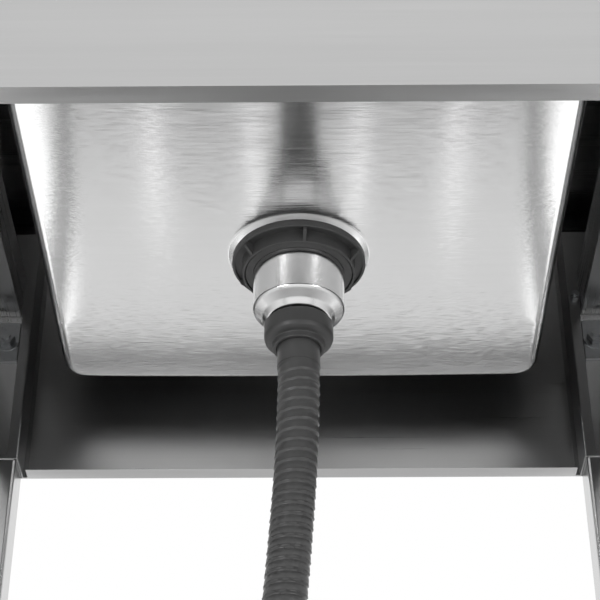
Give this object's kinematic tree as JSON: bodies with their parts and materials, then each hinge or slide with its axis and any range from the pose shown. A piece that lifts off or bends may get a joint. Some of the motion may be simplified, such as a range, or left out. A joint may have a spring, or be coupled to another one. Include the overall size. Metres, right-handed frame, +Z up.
{
  "type": "stainless wash tank",
  "caption": "Free-standing stainless steel wash tank: deep square bowl, lift-out basket strainer, corrugated drain hose, folded aprons and square legs on levelling feet.",
  "frame": {"origin": "on the floor, under the middle of the deck", "axes": "+X to the right along the deck's width, +Y to the back where the tap hole is, +Z up"},
  "size_m": [0.676, 0.61, 0.865],
  "materials": {
    "sheet_steel": "brushed, satin",
    "bowl_steel": "fine brushed",
    "bracket_steel": "brushed",
    "leg_steel": "brushed lengthwise",
    "cup_steel": "drawn and polished",
    "zinc_steel": "zinc plated",
    "black_plastic": "moulded, satin",
    "grey_plastic": "moulded",
    "hose_plastic": "satin",
    "black_rubber": "matt"
  },
  "bodies": {
    "tank": {"deck": "sheet_steel", "front_apron": "sheet_steel", "rear_apron": "sheet_steel", "left_apron": "sheet_steel", "right_apron": "sheet_steel", "left_side_rail": "sheet_steel", "right_side_rail": "sheet_steel", "bowl": "bowl_steel", "strainer_body": "cup_steel", "post_guide": "grey_plastic", "flange_gasket": "black_rubber", "rubber_washer": "black_rubber", "friction_ring": "grey_plastic", "locknut": "black_plastic", "tail_nut": "black_plastic", "tail_washer": "black_rubber", "hose_cuff": "hose_plastic", "drain_hose": "hose_plastic", "hose_end_cuff": "hose_plastic", "hose_end_fitting": "grey_plastic", "leg_nut_plates": "zinc_steel", "leg_washers": "zinc_steel", "leg_nuts": "zinc_steel", "leg_weld_studs": "zinc_steel", "foot_jam_nuts": "zinc_steel", "bonding_washer": "zinc_steel", "bonding_nut": "zinc_steel", "bonding_stud": "zinc_steel", "leg_bracket_front_left": "bracket_steel", "leg_front_left": "leg_steel", "leg_plug_front_left": "black_plastic", "leg_bracket_front_right": "bracket_steel", "leg_front_right": "leg_steel", "leg_plug_front_right": "black_plastic", "leg_bracket_rear_left": "bracket_steel", "leg_rear_left": "leg_steel", "leg_plug_rear_left": "black_plastic", "leg_bracket_rear_right": "bracket_steel", "leg_rear_right": "leg_steel", "leg_plug_rear_right": "black_plastic"},
    "basket": {"basket": "cup_steel", "basket_post": "cup_steel", "basket_knob": "black_plastic", "basket_stopper": "black_rubber"},
    "front_left_foot": {"foot_pad_front_left": "black_plastic", "foot_stud_front_left": "zinc_steel"},
    "front_right_foot": {"foot_pad_front_right": "black_plastic", "foot_stud_front_right": "zinc_steel"},
    "rear_left_foot": {"foot_pad_rear_left": "black_plastic", "foot_stud_rear_left": "zinc_steel"},
    "rear_right_foot": {"foot_pad_rear_right": "black_plastic", "foot_stud_rear_right": "zinc_steel"}
  },
  "joints": [
    {"name": "basket_lift", "type": "slide", "parent": "tank", "child": "basket", "axis": [0, 0, 1], "range_m": [0, 0.1]},
    {"name": "front_left_foot_screw", "type": "slide", "parent": "tank", "child": "front_left_foot", "axis": [0, 0, -1], "range_m": [0, 0.025]},
    {"name": "front_right_foot_screw", "type": "slide", "parent": "tank", "child": "front_right_foot", "axis": [0, 0, -1], "range_m": [0, 0.025]},
    {"name": "rear_left_foot_screw", "type": "slide", "parent": "tank", "child": "rear_left_foot", "axis": [0, 0, -1], "range_m": [0, 0.025]},
    {"name": "rear_right_foot_screw", "type": "slide", "parent": "tank", "child": "rear_right_foot", "axis": [0, 0, -1], "range_m": [0, 0.025]}
  ]
}
